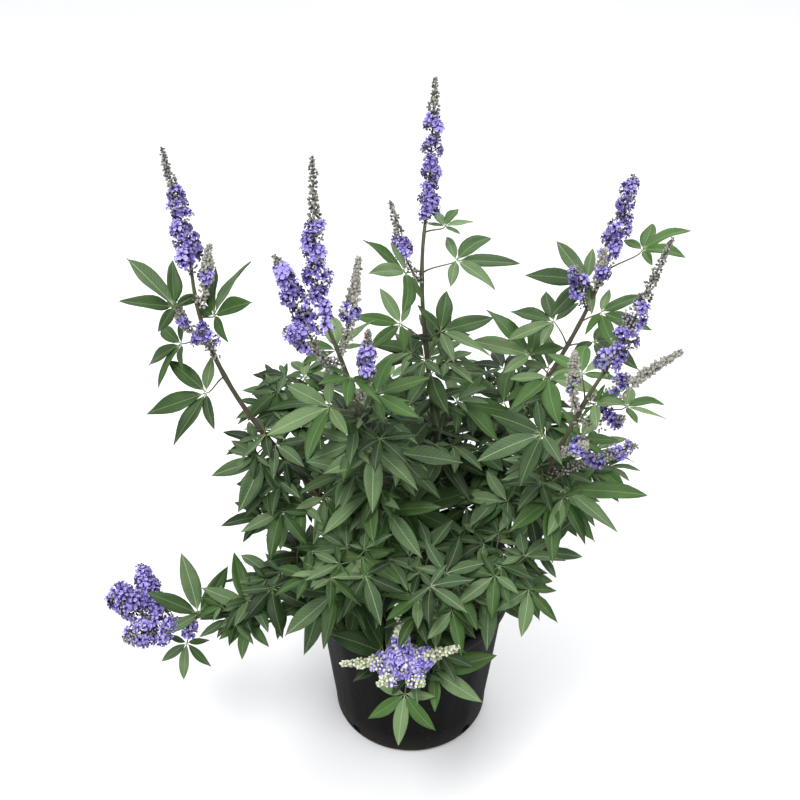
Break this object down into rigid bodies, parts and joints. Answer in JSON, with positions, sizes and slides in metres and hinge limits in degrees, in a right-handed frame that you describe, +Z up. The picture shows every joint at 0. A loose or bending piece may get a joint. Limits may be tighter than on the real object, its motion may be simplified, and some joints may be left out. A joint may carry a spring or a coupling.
{
  "type": "potted chaste tree",
  "caption": "Chaste tree shrub in a black nursery pot, with palmate green leaves on woody stems and upright spikes of lavender-blue florets.",
  "frame": {"origin": "centre of the pot's flat underside", "axes": "+Z up along the pot's axis, -Y towards the viewer of the picture, +X to the viewer's right"},
  "size_m": [0.7621, 0.5077, 0.92],
  "materials": {
    "pot": "black blow-moulded polyethylene with a dull sheen and fine moulding marks",
    "soil": "dark damp bark mix",
    "bark": "grey-brown bark, lightly furrowed",
    "foliage": "matte grey-green leaves with a lighter midrib, paler beneath, on brown-green stems",
    "flowers": "soft lavender-blue petals with grey-green calyxes and buds"
  },
  "bodies": {
    "root": {"pot": "pot", "soil": "soil", "crown": "bark", "stem_left": "foliage", "stem_front_left": "foliage", "stem_centre": "foliage", "stem_right_back": "foliage", "stem_right_front": "foliage", "stem_low_left": "foliage", "stem_low_front": "foliage", "stem_front": "foliage", "stem_front_right": "foliage", "stem_right": "foliage", "stem_back_right": "foliage", "stem_back": "foliage", "stem_back_left": "foliage", "stem_left_side": "foliage", "stem_front_left_low": "foliage", "spike_left": "flowers", "spike_left_side_1": "flowers", "spike_left_side_2": "flowers", "spike_left_side_3": "flowers", "spike_front_left": "flowers", "spike_front_left_side_1": "flowers", "spike_front_left_side_2": "flowers", "spike_front_left_side_3": "flowers", "spike_front_left_side_4": "flowers", "spike_centre": "flowers", "spike_centre_side_1": "flowers", "spike_right_back": "flowers", "spike_right_back_side_1": "flowers", "spike_right_back_side_2": "flowers", "spike_right_front": "flowers", "spike_right_front_side_1": "flowers", "spike_right_front_side_2": "flowers", "spike_right_front_side_3": "flowers", "spike_right_front_side_4": "flowers", "spike_right_front_side_5": "flowers", "spike_low_left": "flowers", "spike_low_left_side_1": "flowers", "spike_low_left_side_2": "flowers", "spike_low_left_side_3": "flowers", "spike_low_front": "flowers", "spike_low_front_side_1": "flowers", "spike_low_front_side_2": "flowers", "spike_low_front_side_3": "flowers", "spike_low_front_side_4": "flowers"}
  },
  "joints": []
}
